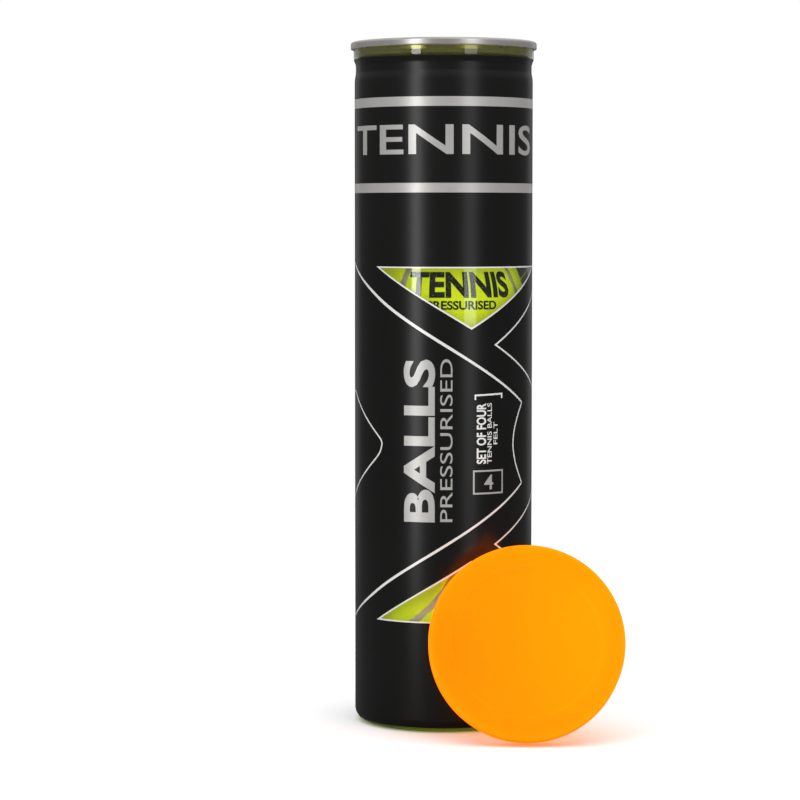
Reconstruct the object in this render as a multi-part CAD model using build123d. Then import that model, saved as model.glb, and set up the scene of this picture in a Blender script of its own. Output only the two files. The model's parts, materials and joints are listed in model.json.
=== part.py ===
"""A four-ball tennis can: a clear moulded tube in a printed shrink sleeve, a seamed metal end with a
ring pull, the snap lid leaning beside it, and the balls packed inside.

Millimetres. The origin is the centre of the can's foot, +Z runs up the can, and the ring pull's nose
and the leaning lid are on the -Y side.
"""

import os
from math import acos, asin, cos, degrees, hypot, radians, sin, tan

from build123d import *

# ---------------------------------------------------------------- driving dimensions

# balls
ball_diameter = 66.8
ball_count = 4
felt_thickness = 3.2
rubber_thickness = 3.4
ball_seam_width = 2.6  # the cement line between the two felt panels
ball_seam_sink = 0.35  # how far the cement lies below the felt
ball_seam_lift = 17.0  # degrees that each lobe's centre stands off the ball's equator
ball_gap = 0.3  # between stacked balls, and under the lowest one
ball_attitudes = ((20, 35, 50), (75, -25, 10), (28, -32, -13), (-50, 30, 65))

# clear tube
ball_to_tube = 2.35
tube_wall = 0.6
foot_corner_radius = 5.25
foot_land = 1.5
heel_width = 2.4
heel_height = 2.6
dome_rise = 4.0  # underside of the base at its centre
mouth_flare = 0.55  # how far the mouth band stands out from the body
mouth_band_height = 3.6  # below the seam
neck_depth = 0.5
neck_flat = 3.3
neck_blend_top = 2.8
neck_blend_bottom = 2.6

# printed sleeve
sleeve_thickness = 0.2
sleeve_wrap_angle = 38.0  # degrees that the sleeve shrinks round the foot corner

# metal end
end_sheet = 0.3
seam_height = 3.05
seam_corner = 1.0
seam_curl = 0.5
cover_hook_height = 1.85
body_hook_height = 2.1
recess_depth = 5.65  # from the top of the seam down to the panel
chuck_wall_height = 4.4
countersink_depth = 1.35  # below the panel
countersink_width = 0.8
countersink_slope = 1.1
shoulder_width = 0.65
score_gap = 0.15
panel_sheet = 0.25
panel_to_ball = 0.5
panel_bead_radius = 30.6
panel_bead_width = 1.8
panel_bead_depth = 0.45

# ring pull
tab_thickness = 1.4
tab_nose_radius = 7.5
tab_ring_radius = 12.3
tab_length = 36.0
tab_edge_gap = 1.15  # from the score line in to the tip of the nose
tab_float = 0.25  # between the tab and the panel
tab_web = 0.5
tab_rim = 1.9
finger_hole_radius = 8.6
rivet_setback = 7.6  # from the tip of the nose back to the rivet
rivet_head_radius = 2.6
rivet_head_height = 0.6
rivet_stem_radius = 1.5
rivet_fit = 0.05
tongue_radius = 3.6
tongue_thickness = 0.35
tongue_strap_width = 5.2
tongue_gap = 0.5
tongue_root_gap = 0.3
finger_well_radius = 7.6
finger_well_depth = 0.3
finger_well_offset = 3.6  # from the ring's centre towards the rivet

# snap lid
lid_fit = 0.25
lid_wall = 0.75
lid_top = 0.9
lid_skirt = 10.0
lid_corner = 1.4
lid_bead_grip = 0.45  # how far the bead reaches in under the seam
lid_bead_width = 1.2
lid_bead_clear = 0.35
lid_dish_radius = 30.0
lid_dish_depth = 0.7
lid_dish_slope = 1.0
lid_lean = 17.5  # degrees from upright
lid_offset = 33.2  # sideways from the can's axis
lid_to_can = 0.3

# ---------------------------------------------------------------- sizes that follow

ball_radius = ball_diameter / 2
tube_inner_radius = ball_radius + ball_to_tube
tube_radius = tube_inner_radius + tube_wall
sleeve_radius = tube_radius + sleeve_thickness
mouth_radius = tube_radius + mouth_flare
neck_radius = tube_radius - neck_depth
foot_radius = tube_radius - foot_corner_radius

ball_pitch = ball_diameter + ball_gap
first_ball_z = dome_rise + tube_wall + ball_gap + ball_radius
ball_heights = [first_ball_z + ball_pitch * k for k in range(ball_count)]
panel_z = ball_heights[-1] + ball_radius + panel_to_ball + panel_sheet  # the panel's upper face
can_height = panel_z + recess_depth

hook_radius = mouth_radius + end_sheet  # inner face of the tube's turned-down flange
flange_radius = hook_radius + tube_wall
seam_radius = flange_radius + end_sheet
chuck_radius = mouth_radius - tube_wall - end_sheet  # inner face of the chuck wall
flange_z = can_height - end_sheet - tube_wall  # underside of the flange
seam_bottom_z = can_height - seam_height
band_bottom_z = seam_bottom_z - mouth_band_height
countersink_z = panel_z - countersink_depth
countersink_outer = chuck_radius - countersink_slope
countersink_inner = countersink_outer - countersink_width
panel_radius = countersink_inner - shoulder_width - score_gap

nose_y = -(panel_radius - tab_edge_gap)
rivet_y = nose_y + rivet_setback
ring_y = nose_y + tab_length - tab_ring_radius
tab_bottom_z = panel_z + tab_float
tab_mid_z = tab_bottom_z + tab_thickness / 2
tab_round = tab_thickness / 2 - 0.02

lid_bore_radius = seam_radius + lid_fit
lid_radius = lid_bore_radius + lid_wall


# ---------------------------------------------------------------- helpers


def turned(profile):
    """A solid of revolution about the can's axis from a closed (radius, height) outline."""
    return revolve(Plane.XZ * make_face(profile), Axis.Z)


def turned_wall(points, corner_radii, thickness, side):
    """A wall of even thickness, turned about the axis, grown to one side of a rounded line."""
    line = FilletPolyline(*points, radius=corner_radii)
    return turned(offset(line, amount=thickness, side=side, closed=True))


def save(shape, name):
    """Write one piece to its own STEP file."""
    export_step(shape, f"parts/{name}.step")


# ---------------------------------------------------------------- tube and sleeve


def body_line():
    """The outside of the tube from the foot corner up to the mouth band, as (radius, height)."""
    neck_top = band_bottom_z - neck_blend_top
    neck_bottom = neck_top - neck_flat
    return [
        (tube_radius, neck_bottom - neck_blend_bottom),
        (neck_radius, neck_bottom),
        (neck_radius, neck_top),
        (mouth_radius, band_bottom_z),
    ]


def make_tube():
    """Blow-moulded tube in one piece with its domed base and the flange that the end is seamed to."""
    heel_radius = foot_radius - foot_land
    points = [
        (0, dome_rise),
        (heel_radius - heel_width - dome_rise, dome_rise),
        (heel_radius - heel_width, heel_height),
        (heel_radius, 0),
        (tube_radius, 0),
        *body_line(),
        (mouth_radius, flange_z),
        (hook_radius, flange_z),
        (hook_radius, flange_z + tube_wall - body_hook_height),
    ]
    corner_radii = [12.0, 2.5, 0.9, foot_corner_radius, 12.0, 3.0, 3.0, 2.0, 0.1, 0.1]
    return turned_wall(points, corner_radii, tube_wall, Side.LEFT)


def make_sleeve():
    """Printed film shrunk on to the tube, from the mouth band down round the foot corner."""
    wrap = radians(sleeve_wrap_angle)
    corner = (tube_radius - foot_corner_radius, foot_corner_radius)
    end = (corner[0] + foot_corner_radius * cos(wrap), corner[1] - foot_corner_radius * sin(wrap))
    middle = (
        corner[0] + foot_corner_radius * cos(wrap / 2),
        corner[1] - foot_corner_radius * sin(wrap / 2),
    )
    straight = FilletPolyline((tube_radius, corner[1]), *body_line(), radius=[12.0, 3.0, 3.0])
    line = ThreePointArc(end, middle, (tube_radius, corner[1])) + straight
    return turned(offset(line, amount=sleeve_thickness, side=Side.RIGHT, closed=True))


# ---------------------------------------------------------------- metal end


def make_end_ring():
    """The end left on the tube: cover hook, seam, chuck wall and countersink, in to the score."""
    points = [
        (mouth_radius, seam_bottom_z + cover_hook_height),
        (mouth_radius, seam_bottom_z),
        (seam_radius, seam_bottom_z),
        (seam_radius, can_height),
        (chuck_radius, can_height),
        (chuck_radius, can_height - chuck_wall_height),
        (countersink_outer, countersink_z),
        (countersink_inner, countersink_z),
        (countersink_inner, panel_z),
        (panel_radius + score_gap, panel_z),
    ]
    bend = end_sheet + 0.08
    corner_radii = [bend, seam_curl, seam_corner, seam_corner, 1.0, bend, bend, bend]
    return turned_wall(points, corner_radii, end_sheet, Side.LEFT)


def make_compound(tube):
    """Sealing compound, which fills what the tip of the cover hook leaves under the tube's flange."""
    low = seam_bottom_z + cover_hook_height
    corners = [(mouth_radius, low), (hook_radius, low), (hook_radius, flange_z), (mouth_radius, flange_z)]
    return turned(Polyline(*corners, close=True)) - tube


def make_panel():
    """Tear-off panel with its stiffening bead, finger well and the rivet drawn up from it."""
    bead_slope = panel_bead_depth
    points = [
        (0, panel_z),
        (panel_bead_radius - panel_bead_width / 2 - bead_slope, panel_z),
        (panel_bead_radius - panel_bead_width / 2, panel_z - panel_bead_depth),
        (panel_bead_radius + panel_bead_width / 2, panel_z - panel_bead_depth),
        (panel_bead_radius + panel_bead_width / 2 + bead_slope, panel_z),
        (panel_radius, panel_z),
    ]
    panel = turned_wall(points, [0.5, 0.4, 0.4, 0.5], panel_sheet, Side.RIGHT)
    well_y = ring_y - finger_well_offset
    well_top = panel_z - panel_sheet
    drawn = Pos(0, well_y, well_top) * Cylinder(
        finger_well_radius, finger_well_depth, align=(Align.CENTER, Align.CENTER, Align.MAX)
    )
    dish = Pos(0, well_y, panel_z) * Cylinder(
        finger_well_radius - panel_sheet, finger_well_depth, align=(Align.CENTER, Align.CENTER, Align.MAX)
    )
    stem_height = tongue_thickness
    stem = Pos(0, rivet_y, panel_z) * Cylinder(
        rivet_stem_radius, stem_height, align=(Align.CENTER, Align.CENTER, Align.MIN)
    )
    head = Pos(0, rivet_y, panel_z + stem_height) * Cylinder(
        rivet_head_radius, rivet_head_height, align=(Align.CENTER, Align.CENTER, Align.MIN)
    )
    head = fillet(head.edges().group_by(Axis.Z)[-1], rivet_head_height * 0.6)
    return panel + drawn - dish + stem + head


# ---------------------------------------------------------------- ring pull


def tab_outline(inset=0.0):
    """Plan of the ring pull, set in from its edge: a small round nose blended into the larger ring."""
    nose = Pos(0, nose_y + tab_nose_radius) * Circle(tab_nose_radius - inset)
    ring = Pos(0, ring_y) * Circle(tab_ring_radius - inset)
    return make_hull((nose + ring).edges())


def tongue_plan(growth=0.0):
    """Plan of the tongue: a round island on the rivet with a strap towards the nose."""
    strap_front = nose_y + tab_rim + tongue_root_gap
    strap_length = rivet_y - strap_front + growth
    island = Pos(0, rivet_y) * Circle(tongue_radius + growth)
    strap = Pos(0, rivet_y - strap_length / 2) * Rectangle(tongue_strap_width + 2 * growth, strap_length)
    return island + strap


def make_tongue():
    """The flat tongue of the ring pull, held to the panel by the rivet."""
    hole = Pos(0, rivet_y) * Circle(rivet_stem_radius + rivet_fit)
    return Pos(0, 0, panel_z) * extrude(tongue_plan() - hole, tongue_thickness)


def make_tab():
    """The ring pull: curled rim all round, a thin web at the nose and the finger hole behind it."""
    outline = tab_outline()
    slab = extrude(outline, tab_thickness)
    slab -= Pos(0, ring_y) * Cylinder(
        finger_hole_radius, tab_thickness, align=(Align.CENTER, Align.CENTER, Align.MIN)
    )
    rims = slab.faces().filter_by(Plane.XY).edges()
    slab = fillet(rims, tab_round)
    inner = tab_outline(tab_rim)
    ring_zone = Pos(0, ring_y) * Circle(finger_hole_radius + tab_rim)
    pocket = inner - ring_zone
    pocket = pocket.faces().sort_by(Axis.Y)[0]
    pocket_depth = (tab_thickness - tab_web) / 2
    slab -= extrude(pocket, pocket_depth)
    slab -= Pos(0, 0, tab_thickness - pocket_depth) * extrude(pocket, pocket_depth)
    window = extrude(tongue_plan(tongue_gap), tab_thickness)
    return Pos(0, 0, tab_bottom_z) * (slab - window)


# ---------------------------------------------------------------- lid


def make_lid_upright():
    """The snap lid with its open rim at height 0 and its dished top at the skirt's height."""
    inside_z = lid_skirt - lid_top
    dish_inner = lid_dish_radius - lid_dish_slope
    shell_points = [
        (0, lid_skirt - lid_dish_depth),
        (dish_inner, lid_skirt - lid_dish_depth),
        (lid_dish_radius, lid_skirt),
        (lid_radius - lid_wall / 2, lid_skirt),
        (lid_radius - lid_wall / 2, lid_skirt / 2),
    ]
    top = turned_wall(shell_points[:4], [0.8, 0.8], lid_top, Side.RIGHT)
    skirt_face = Polyline(
        (lid_bore_radius, 0), (lid_radius, 0), (lid_radius, lid_skirt), (lid_bore_radius, lid_skirt), close=True
    )
    lid = top + turned(skirt_face)
    crown = lid.edges().filter_by(GeomType.CIRCLE).group_by(Axis.Z)[-1].sort_by(SortBy.RADIUS)[-1]
    lid = fillet(crown, lid_corner)
    bead_top = inside_z - seam_height - lid_bead_clear
    bead_middle = bead_top - lid_bead_width / 2
    bead_tip = seam_radius - lid_bead_grip
    bead = Polyline(
        (lid_bore_radius + lid_wall / 2, bead_top),
        (lid_bore_radius, bead_top),
        (bead_tip, bead_middle),
        (lid_bore_radius, bead_top - lid_bead_width),
        (lid_bore_radius + lid_wall / 2, bead_top - lid_bead_width),
        close=True,
    )
    return lid + turned(bead)


def lid_rest_y():
    """Where the centre of the lid's open rim lies, so that its top edge just clears the sleeve."""
    lean = radians(lid_lean)
    target = sleeve_radius + lid_to_can

    def nearest(centre_y):
        reach = []
        for step in range(361):
            turn = radians(step)
            x = lid_offset + lid_radius * sin(turn)
            y = centre_y + lid_radius * cos(turn) * sin(lean)
            reach.append(hypot(x, y))
        return min(reach)

    near, far = -2 * (sleeve_radius + lid_radius), -lid_radius * sin(lean)
    for _ in range(60):
        middle = (near + far) / 2
        if nearest(middle) > target:
            near = middle
        else:
            far = middle
    return near


def make_lid():
    """The lid stood on its open rim and leaned back on the can, its outer face to the -Y side."""
    lean = radians(lid_lean)
    centre = (lid_offset, lid_rest_y(), lid_radius * cos(lean))
    stance = Plane(origin=centre, x_dir=(1, 0, 0), z_dir=(0, -cos(lean), sin(lean)))
    return stance.location * make_lid_upright()


# ---------------------------------------------------------------- balls


def ball_shell(outer, inner):
    """A hollow sphere."""
    return Sphere(outer) - Sphere(inner)


def lobe_directions():
    """The four lobe centres of the seam line, as (azimuth, lift) in degrees."""
    lift = ball_seam_lift
    return [(-45, lift), (45, -lift), (135, lift), (225, -lift)]


def toward(azimuth, lift):
    """The unit vector at an azimuth and a lift above the ball's equator."""
    flat = cos(radians(lift))
    return Vector(flat * cos(radians(azimuth)), flat * sin(radians(azimuth)), sin(radians(lift)))


def lobe_cone(direction, half_angle):
    """A cone from the ball's centre around one lobe."""
    height = ball_diameter
    cone = Cone(0, height * tan(radians(half_angle)), height, align=(Align.CENTER, Align.CENTER, Align.MIN))
    return Plane(origin=(0, 0, 0), z_dir=toward(*direction)).location * cone


def upper_wedge():
    """Everything above the zigzag of great circles through the four lobe centres."""
    reach = 3 * ball_diameter
    rim = [toward(*lobe) * reach for lobe in lobe_directions()]
    pole = Vector(0, 0, reach)
    centre = Vector(0, 0, 0)
    faces = []
    for this, following in zip(rim, rim[1:] + rim[:1]):
        faces.append(make_face(Polyline(centre, this, following, close=True)).face())
        faces.append(make_face(Polyline(pole, this, following, close=True)).face())
    return Solid(Shell(faces))


def make_felts():
    """The two dumb-bell felt panels of a ball at the origin, set apart by the cement line."""
    lobe_radius = degrees(acos(cos(radians(ball_seam_lift)) * cos(radians(45))))
    half_seam = degrees(asin(ball_seam_width / 2 / ball_radius))
    lobes = lobe_directions()
    space = upper_wedge()
    for lobe in lobes[0::2]:
        space -= lobe_cone(lobe, lobe_radius + half_seam)
    for lobe in lobes[1::2]:
        space += lobe_cone(lobe, lobe_radius - half_seam)
    felt = ball_shell(ball_radius, ball_radius - felt_thickness) & space
    return felt, Rot(180, 0, 0) * felt


def make_ball_pieces():
    """The pieces of one ball at the origin: two rubber cups, two felt panels and the cement line."""
    rubber_radius = ball_radius - felt_thickness
    rubber = ball_shell(rubber_radius, rubber_radius - rubber_thickness)
    half_box = Box(ball_diameter, ball_diameter, ball_radius, align=(Align.CENTER, Align.CENTER, Align.MIN))
    felt_a, felt_b = make_felts()
    cement = ball_shell(ball_radius - ball_seam_sink, rubber_radius) - felt_a - felt_b
    return {
        "core_upper": rubber & half_box,
        "core_lower": rubber & (Rot(180, 0, 0) * half_box),
        "felt_a": felt_a,
        "felt_b": felt_b,
        "cement": cement,
    }


# ---------------------------------------------------------------- write every piece

os.makedirs("parts", exist_ok=True)

can_tube = make_tube()
save(can_tube, "tube")
save(make_sleeve(), "printed_sleeve")
save(make_end_ring(), "end_ring")
save(make_compound(can_tube), "sealing_compound")
save(make_panel(), "tear_panel")
save(make_tongue(), "tab_tongue")
save(make_tab(), "pull_tab")
save(make_lid(), "lid")

ball_pieces = make_ball_pieces()
for index, height in enumerate(ball_heights):
    attitude = ball_attitudes[index % len(ball_attitudes)]
    place = Pos(0, 0, height) * Rot(*attitude)
    for piece_name, piece in ball_pieces.items():
        save(place * piece, f"ball_{index + 1}_{piece_name}")

print(f"can height {can_height:.2f}, seam diameter {2 * seam_radius:.2f}, panel at {panel_z:.2f}")
print(f"lid rim centre ({lid_offset:.2f}, {lid_rest_y():.2f}, {lid_radius * cos(radians(lid_lean)):.2f})")
print(f"tab nose {nose_y:.2f}, rivet {rivet_y:.2f}, ring centre {ring_y:.2f}, tab axis z {tab_mid_z:.2f}")
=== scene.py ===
# %% [markdown]
# # A tennis ball can
#
# A clear plastic tube holds four felt balls under pressure. A printed film is shrunk round the tube,
# a metal end with a ring pull is rolled on to its mouth, and an orange snap lid leans beside it.
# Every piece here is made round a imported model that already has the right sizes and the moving
# bodies. Lengths are in metres, +Z runs up the can, and the viewer stands on the -Y side.

import json
import math

import bmesh
import bpy
import numpy as np
from mathutils import Matrix, Vector, noise
from mathutils.geometry import delaunay_2d_cdt


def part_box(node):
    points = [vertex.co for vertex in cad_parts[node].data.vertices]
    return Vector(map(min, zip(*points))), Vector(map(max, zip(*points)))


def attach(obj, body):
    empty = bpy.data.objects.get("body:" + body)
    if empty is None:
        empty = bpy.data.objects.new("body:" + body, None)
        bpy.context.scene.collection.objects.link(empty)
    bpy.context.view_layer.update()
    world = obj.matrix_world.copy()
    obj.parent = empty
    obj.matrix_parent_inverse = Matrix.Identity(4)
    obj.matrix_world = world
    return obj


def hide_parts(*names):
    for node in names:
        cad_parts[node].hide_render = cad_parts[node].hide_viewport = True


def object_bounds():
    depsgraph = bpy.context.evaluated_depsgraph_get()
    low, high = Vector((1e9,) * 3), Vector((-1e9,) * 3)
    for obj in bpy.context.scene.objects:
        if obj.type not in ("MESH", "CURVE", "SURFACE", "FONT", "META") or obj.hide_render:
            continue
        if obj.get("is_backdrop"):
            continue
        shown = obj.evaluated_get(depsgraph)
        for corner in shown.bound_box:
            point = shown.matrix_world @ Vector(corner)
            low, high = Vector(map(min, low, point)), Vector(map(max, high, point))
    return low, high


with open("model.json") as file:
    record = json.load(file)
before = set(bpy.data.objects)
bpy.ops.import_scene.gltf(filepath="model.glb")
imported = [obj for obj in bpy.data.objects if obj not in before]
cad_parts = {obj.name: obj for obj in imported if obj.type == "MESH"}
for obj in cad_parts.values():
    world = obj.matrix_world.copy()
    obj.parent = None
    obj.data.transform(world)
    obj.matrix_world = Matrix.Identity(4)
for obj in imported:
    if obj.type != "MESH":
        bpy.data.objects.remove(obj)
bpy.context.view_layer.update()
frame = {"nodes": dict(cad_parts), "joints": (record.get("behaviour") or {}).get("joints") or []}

# %% [markdown]
# ## Sizes
#
# The frame gives the outside of each node. What lies between those faces, such as the thickness of
# a sheet, is a small number of named values, and the rest follows from them.

# %% Sizes that the pieces share
MM = 0.001
SHEET = 0.3 * MM
TUBE_WALL = 0.6 * MM
FILM = 0.2 * MM
SEAM_HEIGHT = 3.05 * MM

end_low, end_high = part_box("end_ring")
panel_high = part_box("tear_panel")[1]
tab_low, tab_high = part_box("pull_tab")
film_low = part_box("printed_sleeve")[0]
lid_low, lid_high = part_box("lid")
seam_radius = end_high.x
can_top = end_high.z
seam_bottom = can_top - SEAM_HEIGHT
mouth_radius = seam_radius - 2 * SHEET - TUBE_WALL
tube_radius = mouth_radius - 0.55 * MM
film_radius = tube_radius + FILM
chuck_radius = mouth_radius - TUBE_WALL - SHEET
foot_corner = 5.25 * MM
panel_radius = panel_high.x
ball_names = [f"ball_{k}" for k in range(1, 5)]
print("seam radius", round(seam_radius, 5), "film radius", round(film_radius, 5))


# %% [markdown]
# ## Helpers for shapes
#
# Most of this object is turned: its outline is spun round an axis. One helper rounds the corners of
# an outline, one spins it, and one puts a finished mesh on its body and names what it stands for.
# Spinning in code, not with a modifier, gives a plain mesh that is shaded smooth up to a sharp angle.


# %% Make one piece and give it to its body
def place(name, mesh, body, replaced, materials):
    """Links a finished mesh as a piece of the object."""
    piece = bpy.data.objects.new(name, mesh)
    bpy.context.scene.collection.objects.link(piece)
    for material in materials:
        mesh.materials.append(material)
    if replaced:
        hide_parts(*replaced)
    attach(piece, body)
    print(name, len(mesh.polygons), "faces")
    return piece


def mesh_from(name, points, faces, sharp_degrees=35.0):
    """A mesh with smooth faces whose edges stay sharp past an angle."""
    mesh = bpy.data.meshes.new(name)
    mesh.from_pydata(points, [], faces)
    mesh.validate()
    mesh.shade_smooth()
    mesh.set_sharp_from_angle(angle=math.radians(sharp_degrees))
    return mesh


# %% Round the corners of an outline
def rounded(corners, radii, steps=8):
    """Points along straight runs joined by tangent arcs. A radius of 0 keeps a corner sharp."""
    points = []
    for i, (corner, radius) in enumerate(zip(corners, radii)):
        here = Vector(corner)
        if radius == 0 or i in (0, len(corners) - 1):
            points.append(tuple(here))
            continue
        before = Vector(corners[i - 1]) - here
        after = Vector(corners[i + 1]) - here
        half = before.angle(after) / 2
        if abs(half - math.pi / 2) < 1e-3:
            points.append(tuple(here))
            continue
        bisector = (before.normalized() + after.normalized()).normalized()
        centre = here + bisector * (radius / math.sin(half))
        start = here + before.normalized() * (radius / math.tan(half)) - centre
        end = here + after.normalized() * (radius / math.tan(half)) - centre
        turn = start.angle_signed(end)
        for step in range(steps + 1):
            spoke = Vector(start)
            spoke.rotate(Matrix.Rotation(-turn * step / steps, 2))
            points.append(tuple(centre + spoke))
    return points


# %% Thicken an open line into a wall
def wall(line, thickness):
    """The closed outline of a wall grown to the left of an open line of (radius, height) points."""
    inner = []
    for i, point in enumerate(line):
        here = Vector(point)
        back = (here - Vector(line[i - 1])).normalized() if i else None
        ahead = (Vector(line[i + 1]) - here).normalized() if i < len(line) - 1 else None
        back, ahead = back or ahead, ahead or back
        left = Vector((-(back + ahead).y, (back + ahead).x)).normalized()
        reach = thickness / max(0.3, left.dot(Vector((-back.y, back.x))))
        inner.append(tuple(here + left * reach))
    return list(line) + inner[::-1]


# %% Spin an outline round the axis
def turned(name, outline, around=160, closed=True, sharp_degrees=35.0, place_at=None):
    """Spins (radius, height) points round Z. Points on the axis become one shared point."""
    points, rings = [], []
    for radius, height in outline:
        if radius < 1e-7:
            rings.append([len(points)] * around)
            points.append((0, 0, height))
            continue
        rings.append(list(range(len(points), len(points) + around)))
        for step in range(around):
            angle = 2 * math.pi * step / around
            points.append((radius * math.cos(angle), radius * math.sin(angle), height))
    faces = []
    pairs = zip(rings, rings[1:] + rings[:1]) if closed else zip(rings, rings[1:])
    for low, high in pairs:
        for step in range(around):
            after = (step + 1) % around
            corners = [low[step], low[after], high[after], high[step]]
            face = list(dict.fromkeys(corners))
            if len(face) > 2:
                faces.append(face)
    if place_at is not None:
        points = [tuple(place_at @ Vector(p)) for p in points]
    return mesh_from(name, points, faces, sharp_degrees)


# %% [markdown]
# ## Helpers for finishes
#
# Shared effects are node groups: a fine grain that gives height, and handling marks that give a
# mask of smudges. Each material places a group with its own scale and amount. Shaders stay in the
# material itself.


# %% Node helpers
def new_material(name):
    """An empty node material, its node tree and its output node."""
    material = bpy.data.materials.new(name)
    material.use_nodes = True
    tree = material.node_tree
    tree.nodes.clear()
    output = tree.nodes.new("ShaderNodeOutputMaterial")
    return material, tree, output


def new_group(name, inputs, output_name):
    """An empty node group with number sockets, and the nodes that stand for its two sides."""
    group = bpy.data.node_groups.new(name, "ShaderNodeTree")
    for label in inputs:
        group.interface.new_socket(label, in_out="INPUT", socket_type="NodeSocketFloat")
    group.interface.new_socket(output_name, in_out="OUTPUT", socket_type="NodeSocketFloat")
    return group, group.nodes.new("NodeGroupInput"), group.nodes.new("NodeGroupOutput")


def add(tree, kind, **settings):
    """Adds a node. A setting that starts with in_ fills the input of that name, and any other is
    set on the node."""
    node = tree.nodes.new(kind)
    for key, value in settings.items():
        if key.startswith("in_"):
            node.inputs[key[3:].replace("_", " ")].default_value = value
        else:
            setattr(node, key, value)
    return node


def object_noise(tree, **settings):
    """Noise laid over a piece in the piece's own coordinates."""
    where = tree.nodes.new("ShaderNodeTexCoord")
    node = add(tree, "ShaderNodeTexNoise", **settings)
    tree.links.new(where.outputs["Object"], node.inputs["Vector"])
    return node


def ramp(tree, mask, low, high):
    """A mask with more contrast: 0 up to the low place, and 1 from the high place on."""
    node = tree.nodes.new("ShaderNodeValToRGB")
    for element, position, grey in zip(node.color_ramp.elements, (low, high), (0, 1)):
        element.position = position
        element.color = (grey, grey, grey, 1)
    tree.links.new(mask, node.inputs["Fac"])
    return node.outputs["Color"]


def between(tree, mask, low, high):
    """A value that runs from low to high as a mask goes from 0 to 1."""
    node = add(tree, "ShaderNodeMapRange", in_To_Min=low, in_To_Max=high)
    tree.links.new(mask, node.inputs["Value"])
    return node.outputs["Result"]


def tones(tree, mask, first, second):
    """A colour that runs from one tone to another as a mask goes from 0 to 1."""
    node = add(tree, "ShaderNodeMix", data_type="RGBA", in_A=(*first, 1), in_B=(*second, 1))
    tree.links.new(mask, node.inputs["Factor"])
    return node.outputs["Result"]


# %% A node group for fine grain
def build_grain_group():
    """Height from two sizes of noise, for the slight unevenness of every moulded or rolled face."""
    group, start, end = new_group("Fine grain", ("Coarse scale", "Fine scale", "Fine share"), "Height")
    coarse = object_noise(group, in_Detail=2.0)
    fine = object_noise(group, in_Detail=4.0)
    mix = add(group, "ShaderNodeMix", data_type="FLOAT")
    group.links.new(start.outputs["Coarse scale"], coarse.inputs["Scale"])
    group.links.new(start.outputs["Fine scale"], fine.inputs["Scale"])
    group.links.new(start.outputs["Fine share"], mix.inputs["Factor"])
    group.links.new(coarse.outputs["Fac"], mix.inputs["A"])
    group.links.new(fine.outputs["Fac"], mix.inputs["B"])
    group.links.new(mix.outputs["Result"], end.inputs["Height"])
    return group


grain_group = build_grain_group()
print(grain_group.name, len(grain_group.nodes), "nodes")


# %% A node group for handling marks
def build_marks_group():
    """A mask of the faint smudges that handling leaves."""
    group, start, end = new_group("Handling marks", ("Smudge scale",), "Smudges")
    smudge = object_noise(group, in_Detail=3.0, in_Distortion=0.6)
    group.links.new(start.outputs["Smudge scale"], smudge.inputs["Scale"])
    group.links.new(ramp(group, smudge.outputs["Fac"], 0.45, 0.7), end.inputs["Smudges"])
    return group


marks_group = build_marks_group()
print(marks_group.name, len(marks_group.nodes), "nodes")


# %% Place the groups in a material
def place_grain(tree, coarse, fine, fine_share, strength, distance):
    """The grain group feeding a bump. Returns the bump's normal socket."""
    node = add(tree, "ShaderNodeGroup", node_tree=grain_group)
    node.inputs["Coarse scale"].default_value = coarse
    node.inputs["Fine scale"].default_value = fine
    node.inputs["Fine share"].default_value = fine_share
    bump = add(tree, "ShaderNodeBump", in_Strength=strength, in_Distance=distance)
    tree.links.new(node.outputs["Height"], bump.inputs["Height"])
    return bump.outputs["Normal"]


def smudged(tree, scale, clean, touched):
    """A roughness that goes from its clean value to its touched one where the smudges lie."""
    node = add(tree, "ShaderNodeGroup", node_tree=marks_group)
    node.inputs["Smudge scale"].default_value = scale
    return between(tree, node.outputs["Smudges"], clean, touched)


# %% [markdown]
# ## Clear plastic
#
# The tube and the windows of the film are clear polyester. They are thin and flat enough that light
# goes nearly straight through them. A shader that is see-through face on and mirror-like at a
# glancing angle gives that look without the dark noise that real refraction through four thin walls
# would bring.


# %% Clear plastic
GLANCING_GLOSS = 0.85
GLOSS_GROWTH = 4.0  # a higher power keeps the gloss nearer to the edges


def make_clear(name, tint, roughness, least_gloss):
    """Thin clear plastic: transparent, with a gloss that grows towards its edges."""
    material, tree, output = new_material(name)
    facing = add(tree, "ShaderNodeLayerWeight", in_Blend=0.5)
    power = add(tree, "ShaderNodeMath", operation="POWER")
    power.inputs[1].default_value = GLOSS_GROWTH
    see = add(tree, "ShaderNodeBsdfTransparent", in_Color=(*tint, 1))
    gloss = add(tree, "ShaderNodeBsdfGlossy", in_Color=(1, 1, 1, 1))
    mix = add(tree, "ShaderNodeMixShader")
    gloss_share = between(tree, power.outputs["Value"], least_gloss, GLANCING_GLOSS)
    tree.links.new(facing.outputs["Facing"], power.inputs[0])
    tree.links.new(smudged(tree, 60.0, roughness, roughness + 0.05), gloss.inputs["Roughness"])
    tree.links.new(place_grain(tree, 45.0, 900.0, 0.05, 0.12, 0.0006), gloss.inputs["Normal"])
    tree.links.new(gloss_share, mix.inputs["Fac"])
    tree.links.new(see.outputs["BSDF"], mix.inputs[1])
    tree.links.new(gloss.outputs["BSDF"], mix.inputs[2])
    tree.links.new(mix.outputs["Shader"], output.inputs["Surface"])
    return material


clear_tube = make_clear("Clear tube", (0.975, 0.985, 0.98), 0.03, 0.05)
clear_film = make_clear("Clear film", (0.985, 0.99, 0.985), 0.05, 0.028)
print(clear_tube.name, "and", clear_film.name)

# %% [markdown]
# ## Printed inks
#
# Shrink film is usually printed on its inside, so each ink is seen under a layer of glossy plastic.
# The shader's coat is that layer. A silver ink is flakes of metal in a binder, so it is only partly
# metallic, and a full metal would turn black where the studio is dim.


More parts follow.
